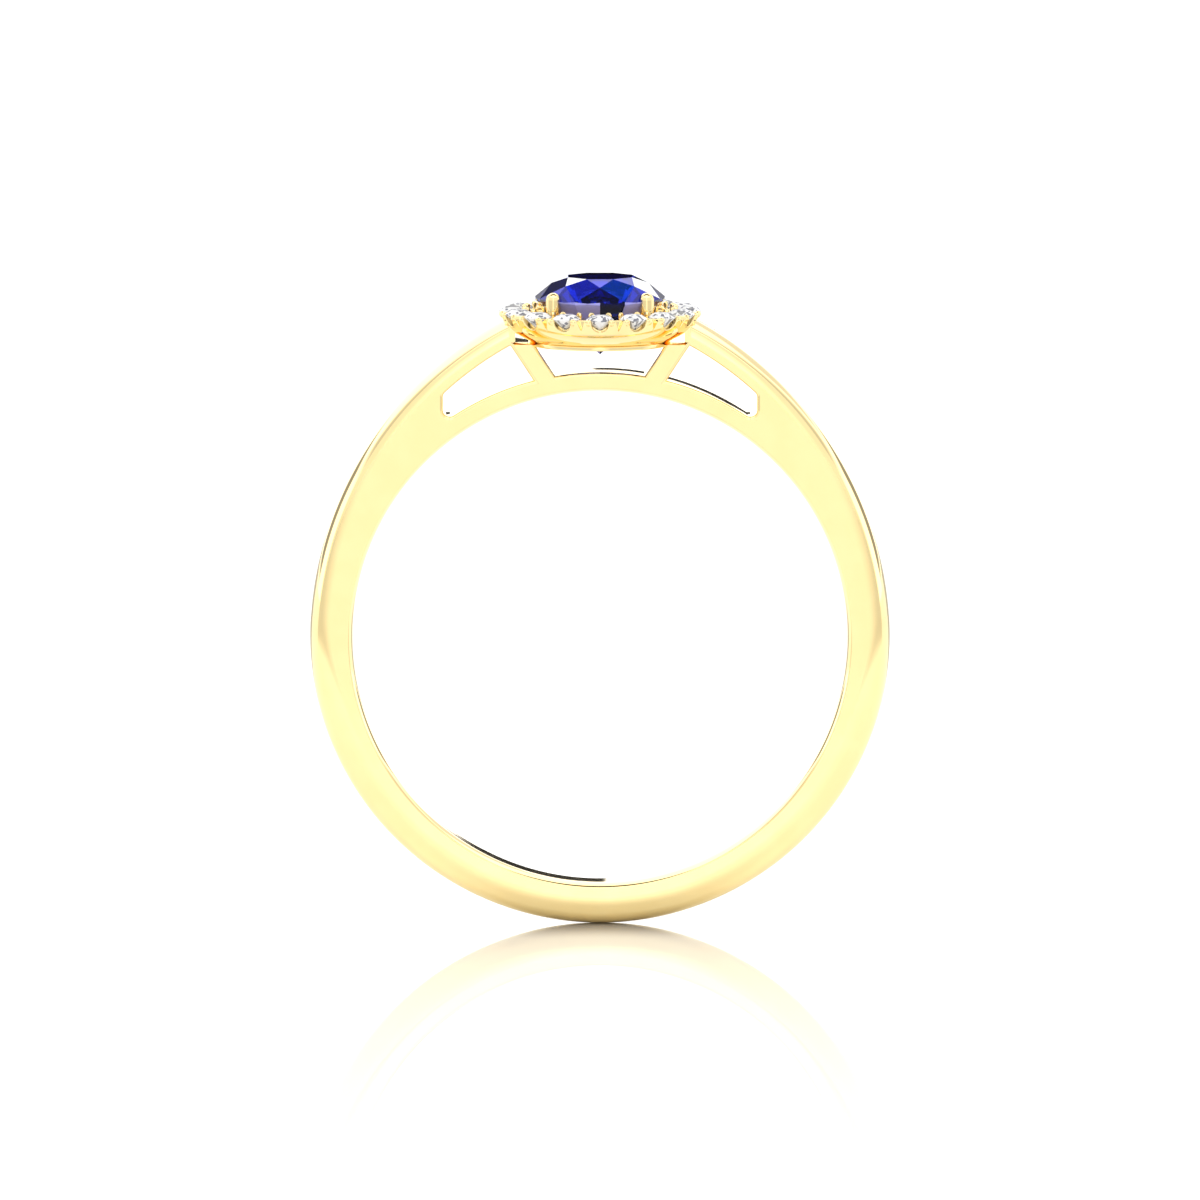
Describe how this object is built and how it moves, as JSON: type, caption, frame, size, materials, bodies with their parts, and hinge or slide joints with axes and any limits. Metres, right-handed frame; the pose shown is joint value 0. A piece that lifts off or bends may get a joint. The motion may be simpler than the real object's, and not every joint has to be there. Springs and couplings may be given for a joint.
{
  "type": "engagement ring",
  "caption": "Finger ring in yellow gold with a round blue centre stone in claws, a halo of small round white stones, and open shoulders.",
  "frame": {"origin": "centre of the finger hole", "axes": "+Y along the finger through the hole, +Z from the finger up to the centre stone, +X across the ring"},
  "size_m": [0.0202, 0.0072, 0.0227],
  "materials": {
    "gold": "polished yellow gold",
    "sapphire": "faceted and polished blue sapphire",
    "diamond": "faceted and polished white diamond"
  },
  "bodies": {
    "root": {"shank": "gold", "left_shoulder": "gold", "right_shoulder": "gold", "finger_bridge": "gold", "left_strut": "gold", "right_strut": "gold", "basket_ring": "gold", "halo_frame": "gold", "claw_1": "gold", "claw_2": "gold", "claw_3": "gold", "claw_4": "gold", "centre_sapphire": "sapphire", "halo_diamond_01": "diamond", "halo_diamond_02": "diamond", "halo_diamond_03": "diamond", "halo_diamond_04": "diamond", "halo_diamond_05": "diamond", "halo_diamond_06": "diamond", "halo_diamond_07": "diamond", "halo_diamond_08": "diamond", "halo_diamond_09": "diamond", "halo_diamond_10": "diamond", "halo_diamond_11": "diamond", "halo_diamond_12": "diamond", "halo_diamond_13": "diamond", "halo_diamond_14": "diamond", "halo_diamond_15": "diamond", "halo_diamond_16": "diamond"}
  },
  "joints": []
}
